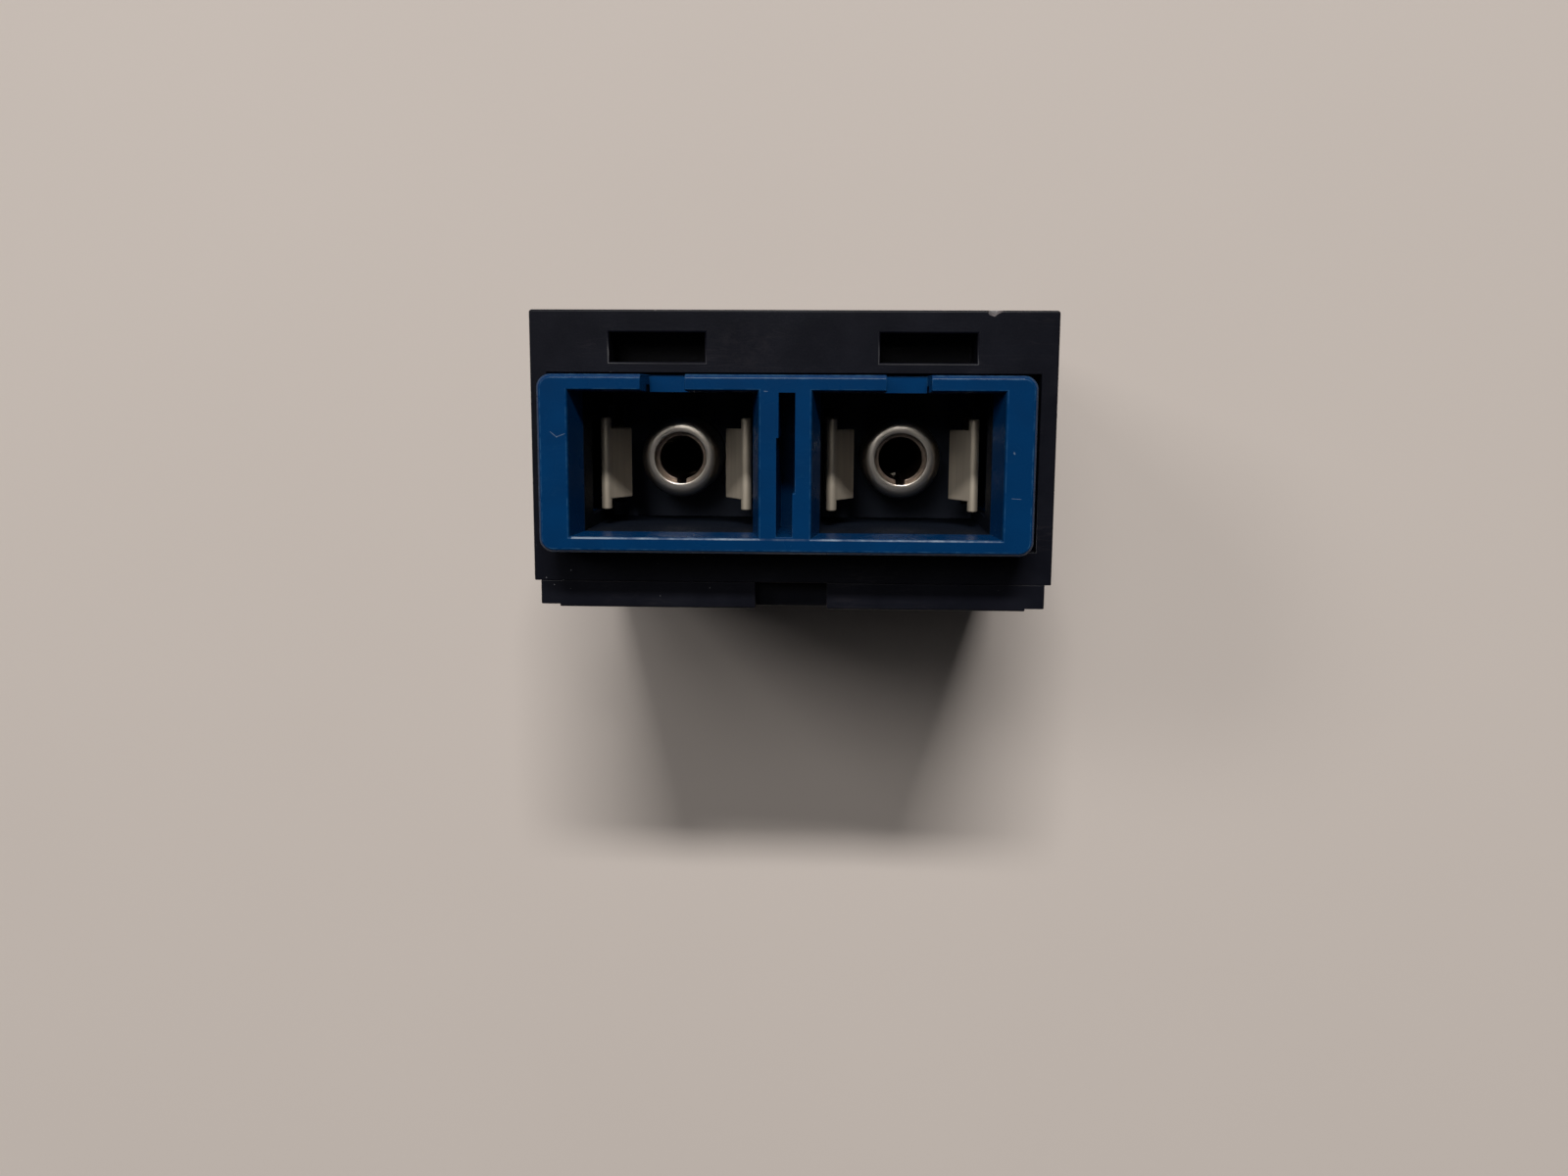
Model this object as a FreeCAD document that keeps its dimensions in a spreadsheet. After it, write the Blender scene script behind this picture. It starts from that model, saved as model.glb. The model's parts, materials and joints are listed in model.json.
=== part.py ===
# Duplex SC fibre adapter module: a blue pass-through adapter in a black two-piece snap-in housing.
# Frame: X to the right and Y up as the front ports are seen, Z out of the front ports,
# origin under the housing's centre on the rear rim that it stands on. Millimetres.
import FreeCAD, Part
import os
import re
import Sketcher

# Driving dimensions: name, size, what it measures.
DIMENSIONS = (
    ("port_pitch", 12.7, "between the two port axes"),
    ("adapter_half", 14.0, "one adapter half, joint plane to face"),
    ("nose_width", 25.9, "adapter body width"),
    ("nose_height", 9.3, "adapter body height"),
    ("nose_corner", 0.75, "adapter body corner radius"),
    ("nose_edge", 0.24, "chamfer round the adapter's face"),
    ("nose_reach", 3.2, "adapter face above the housing face"),
    ("flange_height", 12.6, "adapter flange height"),
    ("flange_thickness", 1.2, "adapter flange on each half"),
    ("cavity_height", 7.45, "port cavity height"),
    ("mouth_lead", 0.4, "opening out of the lead-in, each side"),
    ("mouth_height", 7.6, "port mouth height at the face"),
    ("mouth_depth", 2.2, "depth of the lead-in, face to the liner's rim"),
    ("mouth_chamfer", 0.12, "broken edge of the mouth"),
    ("key_width", 2.3, "key slot width"),
    ("key_depth", 3.45, "key slot depth from the face"),
    ("slot_width", 0.84, "slot between the two port ribs"),
    ("slot_depth", 6.0, "depth of that slot"),
    ("slot_shift", 0.09, "slot to the right of the adapter's centre"),
    ("slot_step", 0.12, "sideways step in the slot's walls"),
    ("slot_step_left", 1.4, "height of the left step above the port axis"),
    ("slot_step_right", 1.45, "drop of the right step below the port axis"),
    ("relief_swing", 1.01, "room outside the latch for its tip's swing"),
    ("relief_side", 0.2, "room beside the latch's ears in the relief"),
    ("relief_room", 0.7, "relief above the latch tip"),
    ("cup_wall", 0.35, "liner wall round the port cavity"),
    ("boss_top", 2.4, "carrier floor above the joint plane"),
    ("play", 0.05, "clearance round the inner pieces"),
    ("barrel_diameter", 4.55, "barrel outside diameter"),
    ("barrel_length", 6.34, "joint plane to the barrel's lip"),
    ("barrel_round", 0.42, "rounding of the barrel's lip"),
    ("barrel_bore", 3.3, "bore that holds the sleeve"),
    ("barrel_collar", 5.4, "barrel collar diameter"),
    ("collar_thickness", 0.8, "barrel collar thickness"),
    ("lip_bore", 2.96, "hole in the barrel's lip"),
    ("lip_thickness", 0.55, "lip that traps the sleeve"),
    ("sleeve_outside", 3.2, "split sleeve outside diameter"),
    ("sleeve_inside", 2.5, "split sleeve bore"),
    ("sleeve_length", 11.4, "split sleeve length"),
    ("sleeve_slit", 0.5, "slit along the sleeve"),
    ("arm_reach", 4.24, "port axis to the outer face of a latch"),
    ("arm_thickness", 0.3, "latch sheet thickness"),
    ("arm_width", 3.95, "latch width"),
    ("arm_drop", 0.25, "latch below the port axis"),
    ("arm_tip", 8.57, "latch tip above the joint plane"),
    ("arm_root", 0.55, "latch pivot bead above the joint plane"),
    ("bead_radius", 0.42, "rolled bead at the latch root"),
    ("bead_wall", 0.34, "carrier wall outside the bead's groove"),
    ("swing_room", 0.22, "room beside the latch for its swing"),
    ("fold_radius", 0.29, "outside radius of the rolled fold at the latch tip"),
    ("fold_length", 5.15, "latch tip across its ears"),
    ("leaf_angle", 36.0, "lean of the folded leaf, in degrees"),
    ("barb_reach", 2.67, "port axis to the leaf's catching edge"),
    ("side_wall", 0.91, "shell side wall"),
    ("housing_height", 16.15, "housing height with its base"),
    ("housing_length", 25.0, "rear rim to housing face"),
    ("top_wall", 1.15, "shell top wall"),
    ("front_wall", 4.2, "shell front wall"),
    ("corner_round", 0.16, "shell corner radius"),
    ("edge_round", 0.12, "rounding round the housing face"),
    ("adapter_float", 0.34, "sideways float of the adapter, each way"),
    ("rest_gap", 0.1, "gap left on the side the adapter rests"),
    ("adapter_drop", 0.03, "adapter axis below the housing centre"),
    ("fit_gap", 0.12, "clearance between adapter and housing"),
    ("pocket_pitch", 14.56, "between the two blind pockets"),
    ("pocket_width", 5.15, "blind pocket width"),
    ("pocket_height", 1.55, "blind pocket height"),
    ("pocket_depth", 3.0, "blind pocket depth"),
    ("pocket_edge", 1.21, "housing top to the pocket"),
    ("rib_width", 1.0, "housing rib width"),
    ("rib_near", 4.0, "inner ribs from the centre"),
    ("rib_far", 10.0, "outer ribs from the centre"),
    ("rib_setback", 0.8, "ribs in from the rear rim"),
    ("nib_place", 7.0, "snap nibs from the centre"),
    ("nib_width", 3.0, "snap nib width"),
    ("nib_bite", 0.55, "nib overlap behind the flange"),
    ("nib_ramp", 3.0, "nib ramp length"),
    ("lug_reach", 0.6, "panel lug height on the shell's side"),
    ("lug_width", 4.0, "panel lug width"),
    ("lug_ramp", 2.6, "panel lug ramp length"),
    ("lug_catch", 21.0, "panel lug catch face above the rear rim"),
    ("base_thickness", 1.46, "base plate thickness"),
    ("base_inset", 0.35, "base in from the shell's side"),
    ("strip_width", 1.05, "shallower strip along the base edge"),
    ("strip_relief", 0.14, "how much shallower that strip is"),
    ("notch_width", 3.93, "notch in the base's front edge"),
    ("notch_depth", 1.2, "notch depth from the face"),
    ("tab_rear", 4.0, "rear snap tabs above the rear rim"),
    ("tab_front", 16.2, "front snap tabs above the rear rim"),
    ("tab_length", 3.0, "snap tab length"),
    ("tab_thickness", 0.9, "snap tab thickness"),
    ("tab_height", 1.5, "snap tab height above the base"),
    ("tab_bite", 0.6, "snap tab hook into the shell's window"),
    ("hook_bottom", 0.6, "snap hook's catch above the base"),
    ("hook_height", 0.6, "snap hook height"),
)

HALF_HEIGHT = "housing_height / 2"
SEAM = "(base_thickness - housing_height / 2)"
CEILING = "(housing_height / 2 - top_wall)"
WALL_BACK = "(housing_length - front_wall)"
HOLLOW = "(nose_width / 2 + adapter_float)"
HALF_WIDTH = f"({HOLLOW} + side_wall)"
BASE_HALF = f"({HALF_WIDTH} - base_inset)"
ADAPTER_X = "(rest_gap - adapter_float)"
ADAPTER_Y = "-adapter_drop"
JOINT = "(housing_length + nose_reach - adapter_half)"
NOSE_TOP = "(nose_height / 2 - adapter_drop)"
NOSE_BOTTOM = "(-nose_height / 2 - adapter_drop)"
FLANGE_TOP = "(flange_height / 2 - adapter_drop)"
FLANGE_FRONT = f"({JOINT} + flange_thickness + fit_gap)"
FLANGE_REAR = f"({JOINT} - flange_thickness - fit_gap)"
PORT = "(port_pitch / 2)"
CUP_WIDTH = "(2 * (arm_reach - arm_thickness / 2 + bead_radius + play + bead_wall))"
CAVITY_WIDTH = f"({CUP_WIDTH} - 2 * cup_wall)"
MOUTH_WIDTH = f"({CAVITY_WIDTH} + 2 * mouth_lead)"
CUP_HEIGHT = "(cavity_height + 2 * cup_wall)"
MOUTH_FLOOR = "(adapter_half - mouth_depth)"
RELIEF_TOP = "(arm_tip + relief_room)"
RELIEF_WIDTH = "(2 * (arm_reach + relief_swing))"
LATCH_SPAN = "(fold_length + 2 * arm_drop)"
RELIEF_HEIGHT = f"({LATCH_SPAN} + 2 * relief_side)"
# How far in from each tangent the middle of a quarter round lies, as a share of its radius.
ARC_MIDDLE = 0.293
SIDES = ("-", "")

doc = FreeCAD.newDocument("fibre_adapter_module")
sizes = doc.addObject("Spreadsheet::Sheet", "sizes")
for row, (alias, size, note) in enumerate(DIMENSIONS, 1):
    sizes.set(f"A{row}", note)
    sizes.set(f"B{row}", str(size))
    sizes.setAlias(f"B{row}", alias)
doc.recompute()


def on_sheet(text):
    # Every word in an expression here is an alias of the sheet, apart from sin and cos.
    return re.sub(r"\b[a-z]\w+\b(?!\()", lambda word: "sizes." + word.group(), text)


def value(text):
    return float(sizes.evalExpression(on_sheet(text)))


def bind(item, path, text):
    item.setExpression(path, on_sheet(text))


def new_body(label, place=("0", "0", "0"), turn=FreeCAD.Rotation()):
    body = doc.addObject("PartDesign::Body", label)
    body.Label = label
    body.Placement = FreeCAD.Placement(FreeCAD.Vector(), turn)
    for letter, text in zip("xyz", place):
        bind(body, "Placement.Base." + letter, text)
    return body


def new_sketch(body, plane, offset="0"):
    sketch = body.newObject("Sketcher::SketchObject", "outline")
    support = [feature for feature in body.Origin.OriginFeatures if feature.Role == plane]
    sketch.AttachmentSupport = [(support[0], "")]
    sketch.MapMode = "FlatFace"
    bind(sketch, "AttachmentOffset.Base.z", offset)
    return sketch


def tie(sketch, kind, *target, text):
    number = sketch.addConstraint(Sketcher.Constraint(kind, *target, value(text)))
    bind(sketch, f"Constraints[{number}]", text)


def draw(sketch, *corners):
    # A closed outline whose every corner is placed from the sketch's origin.
    points = [FreeCAD.Vector(value(across), value(up), 0) for across, up in corners]
    first = sketch.GeometryCount
    count = len(points)
    for index, point in enumerate(points):
        sketch.addGeometry(Part.LineSegment(point, points[(index + 1) % count]))
    for index, (across, up) in enumerate(corners):
        line = first + index
        after = first + (index + 1) % count
        sketch.addConstraint(Sketcher.Constraint("Coincident", line, 2, after, 1))
        tie(sketch, "DistanceX", -1, 1, line, 1, text=across)
        tie(sketch, "DistanceY", -1, 1, line, 1, text=up)
    return sketch


def draw_box(sketch, left, bottom, right, top):
    return draw(sketch, (left, bottom), (right, bottom), (right, top), (left, top))


def draw_centred(sketch, across, up, width, height):
    return draw_box(sketch, f"{across} - {width} / 2", f"{up} - {height} / 2",
                    f"{across} + {width} / 2", f"{up} + {height} / 2")


def draw_circle(sketch, across, up, radius):
    centre = FreeCAD.Vector(value(across), value(up), 0)
    circle = sketch.addGeometry(Part.Circle(centre, FreeCAD.Vector(0, 0, 1), value(radius)))
    tie(sketch, "DistanceX", -1, 1, circle, 3, text=across)
    tie(sketch, "DistanceY", -1, 1, circle, 3, text=up)
    tie(sketch, "Radius", circle, text=radius)
    return sketch


def extrude(kind, body, sketch, length, side="One side", backwards=False):
    feature = body.newObject("PartDesign::" + kind, kind.lower())
    feature.Profile = sketch
    feature.SideType = side
    feature.Reversed = backwards
    bind(feature, "Length", length)
    return feature


def pad(body, sketch, length, **ways):
    return extrude("Pad", body, sketch, length, **ways)


def pocket(body, sketch, length, **ways):
    return extrude("Pocket", body, sketch, length, **ways)


def revolve(body, sketch):
    feature = body.newObject("PartDesign::Revolution", "turned")
    feature.Profile = sketch
    feature.ReferenceAxis = (sketch, ["V_Axis"])
    feature.Angle = 360
    return feature


def hollow_taper(body, across, near, far):
    # Cuts from one centred rectangle to another; each is given as its level, width and height.
    ends = [draw_centred(new_sketch(body, "XY_Plane", level), across, "0", width, height)
            for level, width, height in (near, far)]
    feature = body.newObject("PartDesign::SubtractiveLoft", "lead_in")
    feature.Profile = ends[0]
    feature.Sections = ends[1:]
    feature.Ruled = True
    return feature


def dress_edges(kind, body, measure, amount, wanted):
    # Dresses the edges of the body's last feature for which wanted() is true.
    doc.recompute()
    base = body.Tip
    names = [f"Edge{number}" for number, edge in enumerate(base.Shape.Edges, 1) if wanted(edge)]
    feature = body.newObject("PartDesign::" + kind, kind.lower())
    feature.Base = (base, names)
    bind(feature, measure, amount)
    return feature


def round_edges(body, radius, wanted):
    return dress_edges("Fillet", body, "Radius", radius, wanted)


def chamfer_edges(body, size, wanted):
    return dress_edges("Chamfer", body, "Size", size, wanted)


def lies_at(edge, axis, text):
    place = value(text)
    return all(abs(getattr(vertex.Point, axis) - place) < 1e-6 for vertex in edge.Vertexes)


def runs_along(edge, axis):
    ends = edge.Vertexes
    if len(ends) < 2:
        return False
    span = ends[1].Point - ends[0].Point
    return abs(abs(getattr(span, axis)) - span.Length) < 1e-6


def make_shell():
    body = new_body("housing_shell")
    block = draw_box(new_sketch(body, "XY_Plane"), "-" + HALF_WIDTH, SEAM, HALF_WIDTH, HALF_HEIGHT)
    pad(body, block, "housing_length")
    round_edges(body, "corner_round", lambda edge: runs_along(edge, "z") and lies_at(edge, "y", HALF_HEIGHT))
    round_edges(body, "edge_round", lambda edge: lies_at(edge, "z", "housing_length")
                and not lies_at(edge, "y", SEAM))
    inside = draw_box(new_sketch(body, "XY_Plane", WALL_BACK),
                      "-" + HOLLOW, f"{SEAM} - base_thickness", HOLLOW, CEILING)
    pocket(body, inside, WALL_BACK)
    window = draw_box(new_sketch(body, "XY_Plane", "housing_length"),
                      "-" + HOLLOW, f"{NOSE_BOTTOM} - fit_gap", HOLLOW, f"{NOSE_TOP} + fit_gap")
    pocket(body, window, "front_wall")
    blind = new_sketch(body, "XY_Plane", "housing_length")
    for side in SIDES:
        draw_centred(blind, side + "pocket_pitch / 2", f"({HALF_HEIGHT} - pocket_edge - pocket_height / 2)",
                     "pocket_width", "pocket_height")
    pocket(body, blind, "pocket_depth")
    add_shell_ribs(body)
    add_shell_snaps(body)
    return body


def draw_ribs(sketch, bottom, top):
    for side in SIDES:
        for place in ("rib_near", "rib_far"):
            draw_box(sketch, f"{side}{place} - rib_width / 2", bottom, f"{side}{place} + rib_width / 2", top)
    return sketch


def add_shell_ribs(body):
    # Low ribs guide the flange in from the rear, tall ones stop it.
    guides = draw_ribs(new_sketch(body, "XY_Plane", "rib_setback"), f"{FLANGE_TOP} + fit_gap", CEILING)
    pad(body, guides, f"{WALL_BACK} - rib_setback")
    stops = draw_ribs(new_sketch(body, "XY_Plane", FLANGE_FRONT), f"{NOSE_TOP} + fit_gap", CEILING)
    pad(body, stops, f"{WALL_BACK} - {FLANGE_FRONT}")


def add_shell_snaps(body):
    for side in SIDES:
        nib = draw(new_sketch(body, "YZ_Plane", f"{side}nib_place - nib_width / 2"),
                   (CEILING, FLANGE_REAR), (CEILING, f"{FLANGE_REAR} - nib_ramp"),
                   (f"{FLANGE_TOP} - nib_bite", FLANGE_REAR))
        pad(body, nib, "nib_width")
    windows = new_sketch(body, "YZ_Plane", HALF_WIDTH)
    for place in ("tab_rear", "tab_front"):
        draw_box(windows, f"{SEAM} + hook_bottom - play", f"{place} - fit_gap",
                 f"{SEAM} + hook_bottom + hook_height + fit_gap", f"{place} + tab_length + fit_gap")
    pocket(body, windows, f"2 * {HALF_WIDTH}")
    for side in SIDES:
        lug = draw(new_sketch(body, "XZ_Plane", "-lug_width / 2"),
                   (side + HALF_WIDTH, "lug_catch"), (side + HALF_WIDTH, "lug_catch - lug_ramp"),
                   (f"{side}({HALF_WIDTH} + lug_reach)", "lug_catch"))
        pad(body, lug, "lug_width")


def make_base():
    body = new_body("housing_base")
    plate = draw_box(new_sketch(body, "XY_Plane"), "-" + BASE_HALF, "-" + HALF_HEIGHT, BASE_HALF, SEAM)
    pad(body, plate, "housing_length")
    round_edges(body, "edge_round", lambda edge: lies_at(edge, "z", "housing_length")
                and not lies_at(edge, "y", SEAM))
    strips = new_sketch(body, "XY_Plane", "housing_length")
    for side in SIDES:
        draw_box(strips, f"{side}({BASE_HALF} - strip_width)", "-housing_height",
                 side + HALF_WIDTH, f"strip_relief - {HALF_HEIGHT}")
    pocket(body, strips, "housing_length")
    notch = draw_box(new_sketch(body, "XY_Plane", "housing_length"),
                     "-notch_width / 2", "-housing_height", "notch_width / 2", SEAM)
    pocket(body, notch, "notch_depth")
    rib_top = f"{NOSE_BOTTOM} - fit_gap"
    rear_ribs = draw_ribs(new_sketch(body, "XY_Plane", "rib_setback"), SEAM, rib_top)
    pad(body, rear_ribs, f"{FLANGE_REAR} - rib_setback")
    front_ribs = draw_ribs(new_sketch(body, "XY_Plane", FLANGE_FRONT), SEAM, rib_top)
    pad(body, front_ribs, f"{WALL_BACK} - fit_gap - {FLANGE_FRONT}")
    for place in ("tab_rear", "tab_front"):
        tabs = new_sketch(body, "XY_Plane", place)
        for side in SIDES:
            draw_snap_tab(tabs, side)
        pad(body, tabs, "tab_length")
    return body


def draw_snap_tab(sketch, side):
    outer = f"({HOLLOW} - play)"
    hook = f"{SEAM} + hook_bottom"
    draw(sketch, (f"{side}({outer} - tab_thickness)", SEAM), (side + outer, SEAM), (side + outer, hook),
         (f"{side}({outer} + tab_bite)", hook), (side + outer, f"{hook} + hook_height"),
         (side + outer, f"{SEAM} + tab_height"), (f"{side}({outer} - tab_thickness)", f"{SEAM} + tab_height"))


def draw_ports(sketch, width, height):
    for side in SIDES:
        draw_centred(sketch, side + PORT, "0", width, height)
    return sketch


def make_adapter_half(label, turn):
    body = new_body(label, (ADAPTER_X, ADAPTER_Y, JOINT), turn)
    nose = draw_centred(new_sketch(body, "XY_Plane"), "0", "0", "nose_width", "nose_height")
    pad(body, nose, "adapter_half")
    round_edges(body, "nose_corner", lambda edge: runs_along(edge, "z"))
    chamfer_edges(body, "nose_edge", lambda edge: lies_at(edge, "z", "adapter_half"))
    flange = draw_centred(new_sketch(body, "XY_Plane"), "0", "0", "nose_width", "flange_height")
    pad(body, flange, "flange_thickness")
    seats = draw_ports(new_sketch(body, "XY_Plane"),
                       f"({CUP_WIDTH} + 2 * play)", f"({CUP_HEIGHT} + 2 * play)")
    pocket(body, seats, MOUTH_FLOOR, backwards=True)
    # A rib under each key slot keeps the inner pieces the right way round.
    ribs = new_sketch(body, "XY_Plane")
    for side in SIDES:
        draw_box(ribs, f"{side}{PORT} - key_width / 2", "cavity_height / 2",
                 f"{side}{PORT} + key_width / 2", f"{CUP_HEIGHT} / 2 + 2 * play")
    pad(body, ribs, "adapter_half - key_depth")
    reliefs = draw_ports(new_sketch(body, "XY_Plane", RELIEF_TOP), RELIEF_WIDTH, RELIEF_HEIGHT)
    pocket(body, reliefs, RELIEF_TOP)
    add_mouths(body)
    return body


def add_mouths(body):
    face = "adapter_half"
    brim = (face, f"({MOUTH_WIDTH} + 2 * mouth_chamfer)", "(mouth_height + 2 * mouth_chamfer)")
    mouth = (f"{face} - mouth_chamfer", MOUTH_WIDTH, "mouth_height")
    throat = (MOUTH_FLOOR, CAVITY_WIDTH, "cavity_height")
    for side in SIDES:
        hollow_taper(body, side + PORT, brim, mouth)
        hollow_taper(body, side + PORT, mouth, throat)
    keys = new_sketch(body, "XY_Plane", face)
    for side in SIDES:
        draw_box(keys, f"{side}{PORT} - key_width / 2", "0", f"{side}{PORT} + key_width / 2", "nose_height")
    pocket(body, keys, "key_depth")
    left = "slot_shift - slot_width / 2"
    right = "slot_shift + slot_width / 2"
    end = "cavity_height / 2"
    slot = draw(new_sketch(body, "XY_Plane", face),
                (f"{left} - slot_step", "-" + end), (f"{right} - slot_step", "-" + end),
                (f"{right} - slot_step", "-slot_step_right"), (right, "-slot_step_right"),
                (right, end), (left, end),
                (left, "slot_step_left"), (f"{left} - slot_step", "slot_step_left"))
    pocket(body, slot, "slot_depth")


def clear_key(body):
    # Clears the adapter's rib under the key slot over the whole height of a port.
    key = draw_box(new_sketch(body, "XY_Plane", MOUTH_FLOOR), "-key_width / 2 - play",
                   "cavity_height / 2 - play", "key_width / 2 + play", CUP_HEIGHT)
    pocket(body, key, MOUTH_FLOOR)


def make_liner(label, place, turn):
    # Walls that line one port from the carrier up to its lead-in, with windows for the latches' swing.
    body = new_body(label, place, turn)
    walls = draw_centred(new_sketch(body, "XY_Plane", "boss_top"), "0", "0", CUP_WIDTH, CUP_HEIGHT)
    draw_centred(walls, "0", "0", CAVITY_WIDTH, "cavity_height")
    pad(body, walls, f"{MOUTH_FLOOR} - play - boss_top")
    clear_key(body)
    windows = draw_centred(new_sketch(body, "XY_Plane", RELIEF_TOP), "0", "0", RELIEF_WIDTH, RELIEF_HEIGHT)
    pocket(body, windows, f"{RELIEF_TOP} - boss_top")
    return body


def make_carrier(label, place, turn):
    # The floor of one port, which holds the barrel and the latches.
    body = new_body(label, place, turn)
    block = draw_centred(new_sketch(body, "XY_Plane"), "0", "0", CUP_WIDTH, CUP_HEIGHT)
    pad(body, block, "boss_top")
    clear_key(body)
    bore = draw_circle(new_sketch(body, "XY_Plane"), "0", "0", "barrel_diameter / 2 + play")
    pocket(body, bore, "boss_top", backwards=True)
    collar = draw_circle(new_sketch(body, "XY_Plane"), "0", "0", "barrel_collar / 2 + play")
    pocket(body, collar, "collar_thickness + play", backwards=True)
    # The latches hang in slots: each root bead turns in a groove that is open towards the other half.
    grooves = new_sketch(body, "XZ_Plane")
    mouths = new_sketch(body, "XZ_Plane")
    gates = new_sketch(body, "XZ_Plane")
    for side in SIDES:
        middle = f"{side}(arm_reach - arm_thickness / 2)"
        draw_circle(grooves, middle, "arm_root", "bead_radius + play")
        draw_box(mouths, f"{middle} - bead_radius - play", "-arm_root",
                 f"{middle} + bead_radius + play", "arm_root")
        draw_box(gates, f"{side}(arm_reach - arm_thickness - play)", "arm_root",
                 f"{side}(arm_reach + swing_room)", "boss_top + play")
    for slot in (grooves, mouths, gates):
        pocket(body, slot, f"{LATCH_SPAN} + 2 * play", side="Symmetric")
    return body


def make_barrel(label, place, turn):
    body = new_body(label, place, turn)
    sleeve_end = "barrel_length - lip_thickness"
    facet = f"{ARC_MIDDLE} * barrel_round"
    section = draw(new_sketch(body, "XZ_Plane"),
                   ("barrel_bore / 2", "0"), ("barrel_collar / 2", "0"),
                   ("barrel_collar / 2", "collar_thickness"), ("barrel_diameter / 2", "collar_thickness"),
                   ("barrel_diameter / 2", "barrel_length - barrel_round"),
                   (f"barrel_diameter / 2 - {facet}", f"barrel_length - {facet}"),
                   ("barrel_diameter / 2 - barrel_round", "barrel_length"), ("lip_bore / 2", "barrel_length"),
                   ("lip_bore / 2", sleeve_end), ("barrel_bore / 2", sleeve_end))
    revolve(body, section)
    return body


def make_sleeve(label, place):
    body = new_body(label, place)
    section = draw_box(new_sketch(body, "XZ_Plane"), "sleeve_inside / 2", "-sleeve_length / 2",
                       "sleeve_outside / 2", "sleeve_length / 2")
    revolve(body, section)
    slit = draw_box(new_sketch(body, "XY_Plane"),
                    "-sleeve_slit / 2", "-sleeve_outside", "sleeve_slit / 2", "0")
    pocket(body, slit, "sleeve_length", side="Symmetric")
    return body


def make_latch(label, place, turn, drop):
    # A rolled bead at the root, a straight arm, a rolled fold with ears, and a leaf that leans back from it.
    body = new_body(label, place, turn)
    middle = "arm_reach - arm_thickness / 2"
    bead = draw_circle(new_sketch(body, "XZ_Plane", drop), middle, "arm_root", "bead_radius")
    pad(body, bead, "fold_length", side="Symmetric")
    fold = ("(arm_reach - fold_radius)", "(arm_tip - fold_radius)")
    arm = draw_box(new_sketch(body, "XZ_Plane", drop),
                   "arm_reach - arm_thickness", "arm_root", "arm_reach", fold[1])
    pad(body, arm, "arm_width", side="Symmetric")
    roll = draw_circle(new_sketch(body, "XZ_Plane", drop), *fold, "fold_radius")
    pad(body, roll, "fold_length", side="Symmetric")
    # Points of the leaf: out from the fold's axis by a radius, then down the lean.
    across, up = "cos(leaf_angle)", "sin(leaf_angle)"
    inner = "(fold_radius - arm_thickness)"
    top = (f"({fold[0]} - fold_radius * {across})", f"({fold[1]} + fold_radius * {up})")
    back = (f"({fold[0]} - {inner} * {across})", f"({fold[1]} + {inner} * {up})")
    edge = ("barb_reach", f"({top[1]} - ({top[0]} - barb_reach) * {across} / {up})")
    under = (f"barb_reach + arm_thickness * {across}", f"{edge[1]} - arm_thickness * {up}")
    leaf = draw(new_sketch(body, "XZ_Plane", drop), top, edge, under, back)
    pad(body, leaf, "arm_width", side="Symmetric")
    return body


UPRIGHT = FreeCAD.Rotation()
HALF_TURN = FreeCAD.Rotation(FreeCAD.Vector(0, 0, 1), 180)
TURNED_BACK = FreeCAD.Rotation(FreeCAD.Vector(0, 1, 0), 180)

nodes = [make_shell(), make_base()]
nodes.append(make_adapter_half("adapter_front", UPRIGHT))
nodes.append(make_adapter_half("adapter_rear", TURNED_BACK))
for port_name, port_side in (("left", "-"), ("right", "")):
    port_place = (f"{ADAPTER_X} + {port_side}{PORT}", ADAPTER_Y, JOINT)
    nodes.append(make_sleeve(f"sleeve_{port_name}", port_place))
    for end_name, end_turn in (("front", UPRIGHT), ("rear", TURNED_BACK)):
        nodes.append(make_carrier(f"carrier_{end_name}_{port_name}", port_place, end_turn))
        nodes.append(make_liner(f"liner_{end_name}_{port_name}", port_place, end_turn))
        nodes.append(make_barrel(f"barrel_{end_name}_{port_name}", port_place, end_turn))
        for own_turn, drop in ((UPRIGHT, "arm_drop"), (HALF_TURN, "-arm_drop")):
            turn = end_turn.multiply(own_turn)
            on_right = turn.multVec(FreeCAD.Vector(1, 0, 0)).x > 0
            where = "outer" if on_right == (port_name == "right") else "inner"
            nodes.append(make_latch(f"latch_{end_name}_{port_name}_{where}", port_place, turn, drop))
doc.recompute()

for item in doc.Objects:
    if "Invalid" in item.State or "Error" in item.State:
        raise RuntimeError(f"{item.Label} ({item.Name}) failed: {item.State}")
for node in nodes:
    if node.Shape.isNull() or not node.Shape.isValid():
        raise RuntimeError(f"{node.Label} has no valid shape")

os.makedirs("parts", exist_ok=True)
for node in nodes:
    node.Shape.exportStep(f"parts/{node.Label}.step")
    print(node.Label, len(node.Shape.Solids), round(node.Shape.Volume, 3))
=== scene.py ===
import json
import math
import random

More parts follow.
